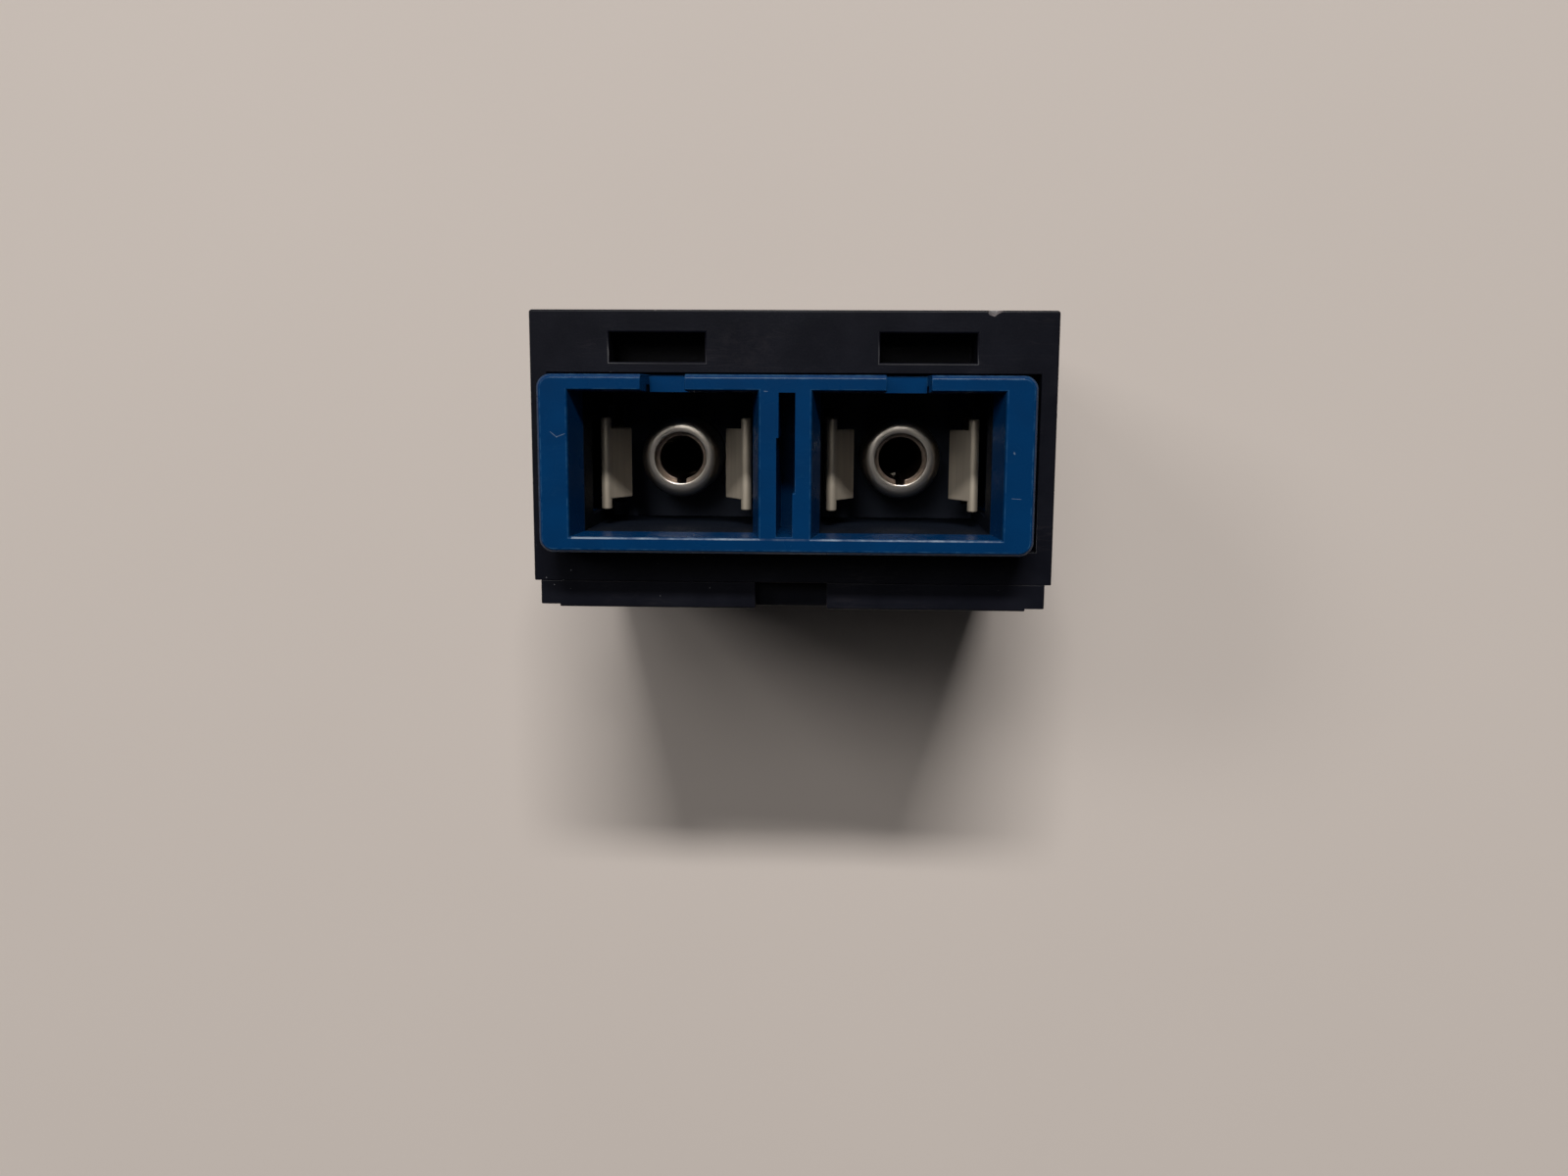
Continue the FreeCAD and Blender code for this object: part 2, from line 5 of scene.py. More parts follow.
import bmesh
import bpy
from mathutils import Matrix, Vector

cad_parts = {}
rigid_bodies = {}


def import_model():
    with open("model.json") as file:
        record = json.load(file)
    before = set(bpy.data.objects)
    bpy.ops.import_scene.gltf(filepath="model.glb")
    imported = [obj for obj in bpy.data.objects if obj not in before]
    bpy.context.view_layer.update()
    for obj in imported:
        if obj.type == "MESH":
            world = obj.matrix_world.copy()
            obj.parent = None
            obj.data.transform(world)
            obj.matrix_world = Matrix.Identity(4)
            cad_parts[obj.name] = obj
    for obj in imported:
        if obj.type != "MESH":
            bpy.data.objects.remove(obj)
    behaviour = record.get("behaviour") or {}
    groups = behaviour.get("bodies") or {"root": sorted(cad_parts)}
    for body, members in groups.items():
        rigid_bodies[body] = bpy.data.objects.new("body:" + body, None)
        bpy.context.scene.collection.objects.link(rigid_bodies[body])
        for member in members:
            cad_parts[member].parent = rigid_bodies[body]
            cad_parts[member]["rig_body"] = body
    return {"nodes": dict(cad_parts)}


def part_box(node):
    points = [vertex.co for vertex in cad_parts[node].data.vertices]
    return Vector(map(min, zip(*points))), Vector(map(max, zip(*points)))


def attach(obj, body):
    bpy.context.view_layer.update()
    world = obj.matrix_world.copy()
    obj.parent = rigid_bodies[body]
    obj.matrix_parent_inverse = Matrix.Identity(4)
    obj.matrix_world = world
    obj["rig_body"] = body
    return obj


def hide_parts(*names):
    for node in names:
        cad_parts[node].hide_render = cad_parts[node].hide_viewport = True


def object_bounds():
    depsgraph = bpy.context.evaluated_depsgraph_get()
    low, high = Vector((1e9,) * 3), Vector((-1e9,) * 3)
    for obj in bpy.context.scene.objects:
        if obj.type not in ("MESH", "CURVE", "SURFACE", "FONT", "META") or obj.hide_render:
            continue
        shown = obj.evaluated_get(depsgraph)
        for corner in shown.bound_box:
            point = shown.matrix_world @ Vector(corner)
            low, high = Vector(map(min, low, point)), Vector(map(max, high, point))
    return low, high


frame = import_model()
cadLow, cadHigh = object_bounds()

mm = 0.001  # the frame is in metres, the dictionaries below in millimetres
nodes = frame["nodes"]
scene = bpy.context.scene
scene.view_settings.view_transform = "Standard"

# places that chips, dust and scratches are set out from
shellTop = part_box("housing_shell")[1].y / mm
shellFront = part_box("housing_shell")[1].z / mm
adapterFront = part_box("adapter_front")[1].z / mm
adapterMiddle = sum(corner.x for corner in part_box("adapter_front")) / 2 / mm


# Shader helpers
def feed(tree, source, socket):
    # another node's socket is linked, and anything else is set as a value
    if isinstance(source, bpy.types.NodeSocket):
        tree.links.new(source, socket)
    else:
        socket.default_value = source


def addNode(tree, kind, inputs=None, **settings):
    node = tree.nodes.new(kind)
    for name, setting in settings.items():
        setattr(node, name, setting)
    for socket, source in (inputs or {}).items():
        feed(tree, source, node.inputs[socket])
    return node


def mathNode(tree, operation, first, second=0.0, clamp=False):
    node = addNode(tree, "ShaderNodeMath", {0: first, 1: second}, operation=operation, use_clamp=clamp)
    return node.outputs[0]


def vectorNode(tree, operation, first, second=(0, 0, 0)):
    return addNode(tree, "ShaderNodeVectorMath", {0: first, 1: second}, operation=operation).outputs


def ramp(tree, value, low, high, outLow=0.0, outHigh=1.0):
    node = addNode(tree, "ShaderNodeMapRange", {"Value": value, "From Min": low, "From Max": high,
                                                "To Min": outLow, "To Max": outHigh})
    return node.outputs["Result"]


def mixColor(tree, mask, under, over):
    # this node has sockets of one name for each kind of value, so they are found by identifier
    node = addNode(tree, "ShaderNodeMix", {"Factor": mask}, data_type="RGBA")
    sockets = {socket.identifier: socket for socket in (*node.inputs, *node.outputs)}
    feed(tree, under, sockets["A_Color"])
    feed(tree, over, sockets["B_Color"])
    return sockets["Result_Color"]


def noise(tree, place, scale, detail=2.0, roughness=0.5):
    node = addNode(tree, "ShaderNodeTexNoise", {"Vector": place, "Scale": scale, "Detail": detail,
                                                "Roughness": roughness})
    return node.outputs["Fac"]


def millimetres(tree, stretch=(1, 1, 1), turn=(0, 0, 0)):
    # the piece's own coordinates, in millimetres
    place = addNode(tree, "ShaderNodeTexCoord").outputs["Object"]
    return addNode(tree, "ShaderNodeMapping", {"Vector": place, "Rotation": turn,
                                               "Scale": [side / mm for side in stretch]}).outputs[0]


def newGroup(name, inputs, outputs):
    # an input's kind follows its value: a number or a place
    tree = bpy.data.node_groups.new(name, "ShaderNodeTree")
    for label, value in inputs.items():
        kind = "NodeSocketVector" if isinstance(value, tuple) else "NodeSocketFloat"
        tree.interface.new_socket(name=label, in_out="INPUT", socket_type=kind).default_value = value
    for label in outputs:
        tree.interface.new_socket(name=label, in_out="OUTPUT", socket_type="NodeSocketFloat")
    return tree, addNode(tree, "NodeGroupInput").outputs, addNode(tree, "NodeGroupOutput").inputs


def useGroup(tree, group, **inputs):
    return addNode(tree, "ShaderNodeGroup", inputs, node_tree=group).outputs


# Fine spark-eroded grain of a moulded face, with a slow mottle under it
def makeMouldGrain():
    tree, given, out = newGroup("mouldGrain", {"Fineness": 9.0, "Mottle": 0.35}, ("Height", "Patch"))
    place = millimetres(tree)
    feed(tree, noise(tree, place, given["Fineness"], detail=3.0, roughness=0.6), out["Height"])
    feed(tree, noise(tree, place, given["Mottle"], detail=4.0), out["Patch"])
    return tree


# Rubbed edges: where a rounded normal leaves the face's own, broken up by noise
def makeWornEdges():
    tree, given, out = newGroup("wornEdges", {"Reach": 0.1 * mm, "Breakup": 1.2, "Bare": 0.5}, ("Mask",))
    wearStarts, wearFull = 0.99, 0.86  # cosines of the angle between the two normals
    gap, solid = 0.42, 0.62
    rounded = addNode(tree, "ShaderNodeBevel", {"Radius": given["Reach"]}, samples=6).outputs[0]
    own = addNode(tree, "ShaderNodeNewGeometry").outputs["True Normal"]
    edge = ramp(tree, vectorNode(tree, "DOT_PRODUCT", rounded, own)["Value"], wearStarts, wearFull)
    breaks = noise(tree, millimetres(tree), given["Breakup"], detail=5.0, roughness=0.65)
    broken = mathNode(tree, "MULTIPLY", edge, ramp(tree, breaks, gap, solid))
    feed(tree, mathNode(tree, "MULTIPLY", broken, given["Bare"]), out["Mask"])
    return tree


# Hair scratches: thin bands of a stretched noise, kept to patches
def makeHairScratches():
    tree, given, out = newGroup("hairScratches", {"Density": 1.0, "Width": 0.012, "Spread": 0.3}, ("Mask",))
    longAndThin = (0.16, 1.7, 1.1)
    tilt = (0.3, 0.2)
    crossing = (0.5, -0.9)  # two ways of rubbing, in radians
    bandMiddle = 0.5
    clear, scratched = 0.5, 0.68
    lines = []
    for turn in crossing:
        streak = noise(tree, millimetres(tree, longAndThin, (*tilt, turn)), given["Density"], detail=1.0)
        off = mathNode(tree, "ABSOLUTE", mathNode(tree, "SUBTRACT", streak, bandMiddle))
        lines.append(mathNode(tree, "LESS_THAN", off, given["Width"]))
    patch = ramp(tree, noise(tree, millimetres(tree), given["Spread"]), clear, scratched)
    feed(tree, mathNode(tree, "MULTIPLY", mathNode(tree, "MAXIMUM", *lines), patch), out["Mask"])
    return tree


# Dust: small dots of uneven size in some cells of a random grid
def makeDustSpecks():
    tree, given, out = newGroup("dustSpecks", {"Closeness": 1.1, "Share": 0.3, "Size": 0.06}, ("Mask",))
    smallest = 0.3  # the smallest dot, as a share of Size
    cells = addNode(tree, "ShaderNodeTexVoronoi", {"Vector": millimetres(tree), "Scale": given["Closeness"]})
    chance = addNode(tree, "ShaderNodeSeparateColor", {"Color": cells.outputs["Color"]}).outputs
    present = mathNode(tree, "LESS_THAN", chance[0], given["Share"])
    reach = mathNode(tree, "MULTIPLY", given["Size"], mathNode(tree, "ADD", chance[1], smallest))
    inside = mathNode(tree, "LESS_THAN", cells.outputs["Distance"], reach)
    feed(tree, mathNode(tree, "MULTIPLY", present, inside), out["Mask"])
    return tree


# A soft-edged box that keeps an effect to one place, in millimetres
def makeKeptTo():
    inputs = {"Middle": (0.0, 0.0, 0.0), "Half": (1.0, 1.0, 1.0), "Soft": 1.0}
    tree, given, out = newGroup("keptTo", inputs, ("Mask",))
    offset = vectorNode(tree, "SUBTRACT", millimetres(tree), given["Middle"])[0]
    away = vectorNode(tree, "ABSOLUTE", offset)[0]
    past = vectorNode(tree, "SUBTRACT", away, given["Half"])[0]
    sides = addNode(tree, "ShaderNodeSeparateXYZ", {"Vector": past}).outputs
    worst = mathNode(tree, "MAXIMUM", mathNode(tree, "MAXIMUM", sides[0], sides[1]), sides[2])
    feed(tree, ramp(tree, worst, given["Soft"], 0.0), out["Mask"])
    return tree


# One scratch from a place to a place, a little ragged
def makeScratchLine():
    inputs = {"Start": (0.0, 0.0, 0.0), "End": (1.0, 0.0, 0.0), "Width": 0.03}
    tree, given, out = newGroup("scratchLine", inputs, ("Mask",))
    raggedness = 9.0
    evenNoise = 2.0  # brings the middle of a noise up to 1
    rim, core = 1.0, 0.5  # where it fades, as shares of its width
    along = vectorNode(tree, "SUBTRACT", given["End"], given["Start"])[0]
    here = vectorNode(tree, "SUBTRACT", millimetres(tree), given["Start"])[0]
    covered = vectorNode(tree, "DOT_PRODUCT", here, along)["Value"]
    length = vectorNode(tree, "DOT_PRODUCT", along, along)["Value"]
    share = mathNode(tree, "DIVIDE", covered, length, clamp=True)
    nearest = addNode(tree, "ShaderNodeVectorMath", {0: along, "Scale": share}, operation="SCALE").outputs[0]
    away = vectorNode(tree, "LENGTH", vectorNode(tree, "SUBTRACT", here, nearest)[0])["Value"]
    ragged = mathNode(tree, "MULTIPLY", noise(tree, millimetres(tree), raggedness, detail=3.0), evenNoise)
    edge = mathNode(tree, "MULTIPLY", given["Width"], ragged)
    feed(tree, ramp(tree, mathNode(tree, "DIVIDE", away, edge), rim, core), out["Mask"])
    return tree


# Metal streaks: tool rings or rolling lines, from whatever direction the material feeds in
def makeMetalStreaks():
    inputs = {"Fineness": 1.0, "Place": (0.0, 0.0, 0.0)}
    tree, given, out = newGroup("metalStreaks", inputs, ("Height", "Tone"))
    toneFineness = 0.3  # the slow change of tone, as a share of the streaks' fineness
    slow = mathNode(tree, "MULTIPLY", given["Fineness"], toneFineness)
    feed(tree, noise(tree, given["Place"], given["Fineness"], detail=5.0, roughness=0.7), out["Height"])
    feed(tree, noise(tree, given["Place"], slow), out["Tone"])
    return tree


mouldGrain = makeMouldGrain()
wornEdges = makeWornEdges()
hairScratches = makeHairScratches()
dustSpecks = makeDustSpecks()
keptTo = makeKeptTo()
scratchLine = makeScratchLine()
metalStreaks = makeMetalStreaks()
print("shader groups:", [group.name for group in bpy.data.node_groups])


# Material helpers
def newMaterial(name, plain):
    material = bpy.data.materials.new(name)
    material.use_nodes = True
    shader = material.node_tree.nodes["Principled BSDF"].inputs
    for socket, value in plain.items():
        shader[socket].default_value = value
    return material, material.node_tree, shader


def addBump(tree, shader, height, strength, depth):
    bump = addNode(tree, "ShaderNodeBump", {"Height": height, "Strength": strength, "Distance": depth * mm})
    feed(tree, bump.outputs[0], shader["Normal"])


def cover(tree, color, mask, amount, over):
    # lays another colour over a masked part, at most as densely as the amount
    return mixColor(tree, mathNode(tree, "MULTIPLY", mask, amount), color, over)


# Black housing plastic; a bump is its strength and its depth, and a cover is how densely a mark lies
blackLook = {
    "dark": (0.0036, 0.004, 0.0072, 1), "grey": (0.0072, 0.0077, 0.0118, 1), "patches": (0.35, 0.7),
    "wearAndHighlight": (0.03, 0.026, 0.03, 1), "dustAndHighlight": (0.3, 0.3, 0.32, 1),
    "gloss": 0.1, "rough": (0.38, 0.32), "roughPatches": (0.3, 0.75), "bump": (0.3, 0.02),
    "grain": {"Fineness": 8.0, "Mottle": 0.45},
    "worn": {"Reach": 0.12 * mm, "Breakup": 1.1, "Bare": 0.3},
    "lines": {"Density": 1.1, "Width": 0.01, "Spread": 0.22}, "linesCover": 0.2,
    "specks": {"Closeness": 0.8, "Share": 0.2, "Size": 0.045}, "specksCover": 0.08,
    # crumbs gather at the lower left of the front
    "crumbs": {"Closeness": 2.2, "Share": 0.32, "Size": 0.075}, "crumbsCover": 0.6,
    "dustyCorner": {"Middle": (-9.0, -6.9, shellFront), "Half": (4.0, 0.8, 0.3), "Soft": 1.6},
    # and a finger has left a mark between the two pockets
    "smudge": {"Middle": (-2.4, 6.0, shellFront), "Half": (0.9, 0.5, 0.3), "Soft": 1.3},
    "smudgeCover": 0.2, "smudgeGrain": 1.6, "smudgePatches": (0.45, 0.7),
}


def blackPlastic(look=blackLook):
    material, tree, shader = newMaterial("blackPlastic", {"Specular IOR Level": look["gloss"]})
    grain = useGroup(tree, mouldGrain, **look["grain"])
    worn = useGroup(tree, wornEdges, **look["worn"])["Mask"]
    lines = useGroup(tree, hairScratches, **look["lines"])["Mask"]
    specks = useGroup(tree, dustSpecks, **look["specks"])["Mask"]
    crumbs = useGroup(tree, dustSpecks, **look["crumbs"])["Mask"]
    corner = useGroup(tree, keptTo, **look["dustyCorner"])["Mask"]
    finger = useGroup(tree, keptTo, **look["smudge"])["Mask"]
    ridges = noise(tree, millimetres(tree), look["smudgeGrain"], detail=5.0, roughness=0.7)
    smudge = mathNode(tree, "MULTIPLY", finger, ramp(tree, ridges, *look["smudgePatches"]))
    cornerCrumbs = mathNode(tree, "MULTIPLY", crumbs, corner)
    color = mixColor(tree, ramp(tree, grain["Patch"], *look["patches"]), look["dark"], look["grey"])
    color = cover(tree, color, smudge, look["smudgeCover"], look["wearAndHighlight"])
    color = cover(tree, color, lines, look["linesCover"], look["wearAndHighlight"])
    color = mixColor(tree, worn, color, look["wearAndHighlight"])
    color = cover(tree, color, cornerCrumbs, look["crumbsCover"], look["dustAndHighlight"])
    color = cover(tree, color, specks, look["specksCover"], look["dustAndHighlight"])
    feed(tree, color, shader["Base Color"])
    feed(tree, ramp(tree, grain["Patch"], *look["roughPatches"], *look["rough"]), shader["Roughness"])
    addBump(tree, shader, grain["Height"], *look["bump"])
    return material


# Pale broken plastic inside a chip
brokenLook = {
    "dark": (0.03, 0.026, 0.029, 1), "pale": (0.12, 0.105, 0.112, 1), "patches": (0.4, 0.65),
    "gloss": 0.5, "rough": (0.35, 0.6), "roughPatches": (0.3, 0.7), "bump": (0.5, 0.03),
    "grain": {"Fineness": 14.0, "Mottle": 3.0},
}


def brokenPlastic(look=brokenLook):
    material, tree, shader = newMaterial("brokenPlastic", {"Specular IOR Level": look["gloss"]})
    grain = useGroup(tree, mouldGrain, **look["grain"])
    color = mixColor(tree, ramp(tree, grain["Patch"], *look["patches"]), look["dark"], look["pale"])
    feed(tree, color, shader["Base Color"])
    feed(tree, ramp(tree, grain["Height"], *look["roughPatches"], *look["rough"]), shader["Roughness"])
    addBump(tree, shader, grain["Height"], *look["bump"])
    return material


# Blue adapter plastic
blueLook = {
    "deep": (0.0003, 0.0245, 0.087, 1), "light": (0.0007, 0.0295, 0.102, 1), "patches": (0.3, 0.7),
    "wearAndHighlight": (0.05, 0.15, 0.27, 1), "dustAndHighlight": (0.3, 0.36, 0.43, 1),
    "gloss": 0.1, "rough": (0.3, 0.25), "roughPatches": (0.3, 0.7), "bump": (0.1, 0.012),
    "grain": {"Fineness": 5.0, "Mottle": 0.5},
    "worn": {"Reach": 0.1 * mm, "Breakup": 2.2, "Bare": 0.3},
    "lines": {"Density": 1.6, "Width": 0.008, "Spread": 0.3}, "linesCover": 0.04,
    "specks": {"Closeness": 1.3, "Share": 0.1, "Size": 0.06}, "specksCover": 0.2,
    # crumbs lie on the lower lips of both front ports
    "crumbs": {"Closeness": 3.0, "Share": 0.14, "Size": 0.1}, "crumbsCover": 0.35,
    "lowerLips": {
        "Middle": (adapterMiddle, -3.75, adapterFront - 1.2), "Half": (11.2, 0.08, 0.9), "Soft": 0.25,
    },
    # and a pale line is painted along the lower edges of their mouths: a painted highlight where they face
    # the lamps, stronger in some places than in others
    "mouthHighlight": {
        "Middle": (adapterMiddle, -3.9, adapterFront - 0.05), "Half": (11.2, 0.03, 0.03), "Soft": 0.03,
    },
    "mouthHighlightCover": 0.6, "mouthHighlightBreakup": 0.9, "mouthHighlightPatches": (0.38, 0.62), "mouthHighlightLeast": 0.15,
    "scratches": [
        {"Start": (-12.46, 1.64, adapterFront), "End": (-12.13, 1.37, adapterFront), "Width": 0.016},
        {"Start": (-12.13, 1.37, adapterFront), "End": (-11.7, 1.54, adapterFront), "Width": 0.018},
        {"Start": (11.53, 0.7, adapterFront), "End": (11.56, 0.64, adapterFront), "Width": 0.05},
        {"Start": (11.48, -1.65, adapterFront), "End": (11.97, -1.68, adapterFront), "Width": 0.012},
        {"Start": (-1.33, 3.77, adapterFront), "End": (-1.15, 3.76, adapterFront), "Width": 0.02},
    ],
    "scratchCover": 0.35,
}


def bluePlastic(look=blueLook):
    material, tree, shader = newMaterial("bluePlastic", {"Specular IOR Level": look["gloss"]})
    grain = useGroup(tree, mouldGrain, **look["grain"])
    worn = useGroup(tree, wornEdges, **look["worn"])["Mask"]
    lines = useGroup(tree, hairScratches, **look["lines"])["Mask"]
    specks = useGroup(tree, dustSpecks, **look["specks"])["Mask"]
    crumbs = useGroup(tree, dustSpecks, **look["crumbs"])["Mask"]
    lips = useGroup(tree, keptTo, **look["lowerLips"])["Mask"]
    edges = useGroup(tree, keptTo, **look["mouthHighlight"])["Mask"]
    highlightBreakup = noise(tree, millimetres(tree), look["mouthHighlightBreakup"], detail=4.0, roughness=0.7)
    wearAndHighlight = mathNode(tree, "MULTIPLY", edges, ramp(tree, highlightBreakup, *look["mouthHighlightPatches"], look["mouthHighlightLeast"]))
    lipCrumbs = mathNode(tree, "MULTIPLY", crumbs, lips)
    color = mixColor(tree, ramp(tree, grain["Patch"], *look["patches"]), look["deep"], look["light"])
    color = cover(tree, color, lines, look["linesCover"], look["wearAndHighlight"])
    color = mixColor(tree, worn, color, look["wearAndHighlight"])
    color = cover(tree, color, lipCrumbs, look["crumbsCover"], look["dustAndHighlight"])
    color = cover(tree, color, specks, look["specksCover"], look["dustAndHighlight"])
    # painted highlight: the pale line along the lower mouth edges, broken up in patches
    color = cover(tree, color, wearAndHighlight, look["mouthHighlightCover"], look["dustAndHighlight"])
    for scratch in look["scratches"]:
        mark = useGroup(tree, scratchLine, **scratch)["Mask"]
        color = cover(tree, color, mark, look["scratchCover"], look["dustAndHighlight"])
    feed(tree, color, shader["Base Color"])
    feed(tree, ramp(tree, grain["Patch"], *look["roughPatches"], *look["rough"]), shader["Roughness"])
    addBump(tree, shader, grain["Height"], *look["bump"])
    return material


# Dark glass-filled floors and linings of the ports, in two copies: the floors are painted paler than the
# plastic, as painted light in the shaded ports, and the linings darker, as painted shade on the port walls
darkLook = {
    # the floors are painted paler than their plastic: painted light in the shaded ports
    "darkFloorPaintedLight": {"deep": (0.03, 0.036, 0.055, 1), "light": (0.042, 0.05, 0.074, 1), "gloss": 0.1},
    # the linings are painted darker than their plastic: painted shade on the port walls
    "darkLiningPaintedShade": {"deep": (0.0045, 0.0065, 0.0115, 1), "light": (0.007, 0.0095, 0.016, 1), "gloss": 0.05},
    "rough": (0.5, 0.64), "roughPatches": (0.3, 0.7), "bump": (0.25, 0.02),
    "grain": {"Fineness": 6.0, "Mottle": 1.2},
    "specks": {"Closeness": 1.5, "Share": 0.12, "Size": 0.06}, "specksCover": 0.12,
}


def darkPlastic(name, look=darkLook):
    tint = look[name]
    material, tree, shader = newMaterial(name, {"Specular IOR Level": tint["gloss"]})
    grain = useGroup(tree, mouldGrain, **look["grain"])
    specks = useGroup(tree, dustSpecks, **look["specks"])["Mask"]
    color = mixColor(tree, grain["Patch"], tint["deep"], tint["light"])
    color = cover(tree, color, specks, look["specksCover"], blueLook["dustAndHighlight"])
    feed(tree, color, shader["Base Color"])
    feed(tree, ramp(tree, grain["Height"], *look["roughPatches"], *look["rough"]), shader["Roughness"])
    addBump(tree, shader, grain["Height"], *look["bump"])
    return material


# Metals: turned nickel barrels, stamped steel hooks, rolled bronze sleeves; the bronze keeps the metal's own
# tone but is painted darker, as painted shade inside the bores
metalLook = {
    "turnedNickel": {
        "bright": (0.82, 0.75, 0.67, 1), "dull": (0.68, 0.62, 0.55, 1), "metallic": 1.0,
        "rough": (0.26, 0.36), "bump": (0.3, 0.004), "toolRings": 26.0,
    },
    "stampedSteel": {
        "bright": (0.56, 0.495, 0.405, 1), "dull": (0.5, 0.44, 0.36, 1), "metallic": 0.75,
        "rough": (0.56, 0.64), "bump": (0.3, 0.003), "stretch": (14.0, 0.7, 14.0),
    },
    # painted shade: the bronze is darker than the metal, to stand for the shaded bores
    "rolledBronzePaintedShade": {
        "bright": (0.3, 0.235, 0.19, 1), "dull": (0.22, 0.17, 0.138, 1), "metallic": 1.0,
        "rough": (0.3, 0.4), "bump": (0.3, 0.006), "stretch": (9.0, 9.0, 0.5),
    },
    "patches": (0.35, 0.65), "roughPatches": (0.3, 0.7),
    "marks": {"Closeness": 2.2, "Share": 0.25, "Size": 0.05}, "marksCover": 0.5,
}


def streakPlace(tree, metal):
    if "stretch" in metal:
        return millimetres(tree, metal["stretch"])
    # along a turned profile in fine steps, round its axis in long ones
    along = addNode(tree, "ShaderNodeAttribute", attribute_name="along").outputs["Fac"]
    around = addNode(tree, "ShaderNodeAttribute", attribute_name="around").outputs["Fac"]
    rings = mathNode(tree, "MULTIPLY", along, metal["toolRings"])
    return addNode(tree, "ShaderNodeCombineXYZ", {0: rings, 1: around}).outputs[0]


def streakedMetal(name, look=metalLook):
    metal = look[name]
    material, tree, shader = newMaterial(name, {"Metallic": metal["metallic"]})
    streaks = useGroup(tree, metalStreaks, Place=streakPlace(tree, metal))
    marks = useGroup(tree, dustSpecks, **look["marks"])["Mask"]
    color = mixColor(tree, ramp(tree, streaks["Tone"], *look["patches"]), metal["dull"], metal["bright"])
    color = cover(tree, color, marks, look["marksCover"], metal["dull"])
    feed(tree, color, shader["Base Color"])
    feed(tree, ramp(tree, streaks["Height"], *look["roughPatches"], *metal["rough"]), shader["Roughness"])
    addBump(tree, shader, streaks["Height"], *metal["bump"])
    return material


blackPart = blackPlastic()
brokenPart = brokenPlastic()
bluePart = bluePlastic()
# the floor copy carries painted light and the lining copy carries painted shade
floorPaintedLightPart = darkPlastic("darkFloorPaintedLight")
liningPaintedShadePart = darkPlastic("darkLiningPaintedShade")
nickelPart = streakedMetal("turnedNickel")
steelPart = streakedMetal("stampedSteel")
bronzePaintedShadePart = streakedMetal("rolledBronzePaintedShade")
print("materials: black, broken, blue and dark plastic, nickel, steel and bronze")


# Mesh helpers
def standFor(piece, node):
    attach(piece, nodes[node]["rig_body"])
    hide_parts(node)
    return piece


def newPiece(name, bm, material):
    mesh = bpy.data.meshes.new(name)
    bm.to_mesh(mesh)
    bm.free()
    mesh.materials.append(material)
    piece = bpy.data.objects.new(name, mesh)
    scene.collection.objects.link(piece)
    return piece


def settle(piece):
    # bakes the modifiers into the mesh
    shown = piece.evaluated_get(bpy.context.evaluated_depsgraph_get())
    mesh = bpy.data.meshes.new_from_object(shown)
    piece.modifiers.clear()
    piece.data = mesh
    return piece


weldGap = 0.0005 * mm  # points closer than this become one
flatAngle = math.radians(0.5)  # faces that meet flatter than this become one
cornerAngle = math.radians(60)  # above this an edge is a corner, below it a chamfer or a step of a curve
creaseAngle = math.radians(50)  # above this the shading breaks
narrowFace = 0.4 * mm  # a chamfer or a round, which takes its shading from the wide faces beside it
strengthLayer = "__mod_weightednormals_faceweight"  # the layer that the weighted normals read
weakFace, strongFace = -16384, 16384  # the two ends of that layer's scale
fewestSides = 5  # faces with this many sides or more are cut into triangles
roundProfile = 0.5  # what the bevel calls a round


def edgeSize(edge, look):
    # a zone is a box in millimetres whose edges have a rounding of their own
    for zone in look.get("zones", []):
        inside = all(low <= point.co[axis] / mm <= high for point in edge.verts
                     for axis, (low, high) in enumerate(zip(zone["low"], zone["high"])))
        if inside:
            return zone["edge"]
    return look["edge"]


def brokenCorners(name, node, look, material):
    # the node's own form, with its outer corners broken as a mould or a die leaves them
    bm = bmesh.new()
    bm.from_mesh(nodes[node].data)
    bmesh.ops.remove_doubles(bm, verts=bm.verts, dist=weldGap)
    bmesh.ops.dissolve_limit(bm, angle_limit=flatAngle, verts=bm.verts, edges=bm.edges)
    corners = {}
    for edge in bm.edges:
        if edge.is_manifold and edge.is_convex and edge.calc_face_angle() > cornerAngle:
            corners.setdefault(edgeSize(edge, look), []).append(edge)
    for size in sorted(corners, reverse=True):
        edges = [edge for edge in corners[size] if edge.is_valid]
        bmesh.ops.bevel(bm, geom=edges, offset=size * mm, offset_type="OFFSET", segments=look["steps"],
                        profile=roundProfile, affect="EDGES", clamp_overlap=False)
    bmesh.ops.dissolve_degenerate(bm, dist=weldGap, edges=bm.edges)
    strength = bm.faces.layers.int.new(strengthLayer)
    for face in bm.faces:
        face.smooth = True
        face.material_index = 0
        width = face.calc_area() / max(edge.calc_length() for edge in face.edges)
        face[strength] = weakFace if width < narrowFace else strongFace
    for edge in bm.edges:
        edge.smooth = edge.is_manifold and edge.calc_face_angle() < creaseAngle
    return newPiece(name, bm, material)


def smoothFaces(piece):
    # wide faces stay flat and narrow chamfers shade as rounds
    shading = piece.modifiers.new("faceNormals", "WEIGHTED_NORMAL")
    shading.keep_sharp = True
    shading.use_face_influence = True
    triangles = piece.modifiers.new("triangles", "TRIANGULATE")
    triangles.min_vertices = fewestSides
    triangles.keep_custom_normals = True
    return settle(piece)


# Chips knocked out of the housing's front edge
chips = {
    "seed": 4, "grit": 2, "reach": (0.75, 1.15),
    "places": {
        "top_right": {"at": (10.72, shellTop + 0.025, shellFront + 0.03), "size": (0.44, 0.34, 0.3)},
        "top_left": {"at": (-7.35, shellTop + 0.045, shellFront + 0.03), "size": (0.17, 0.13, 0.15)},
    },
}


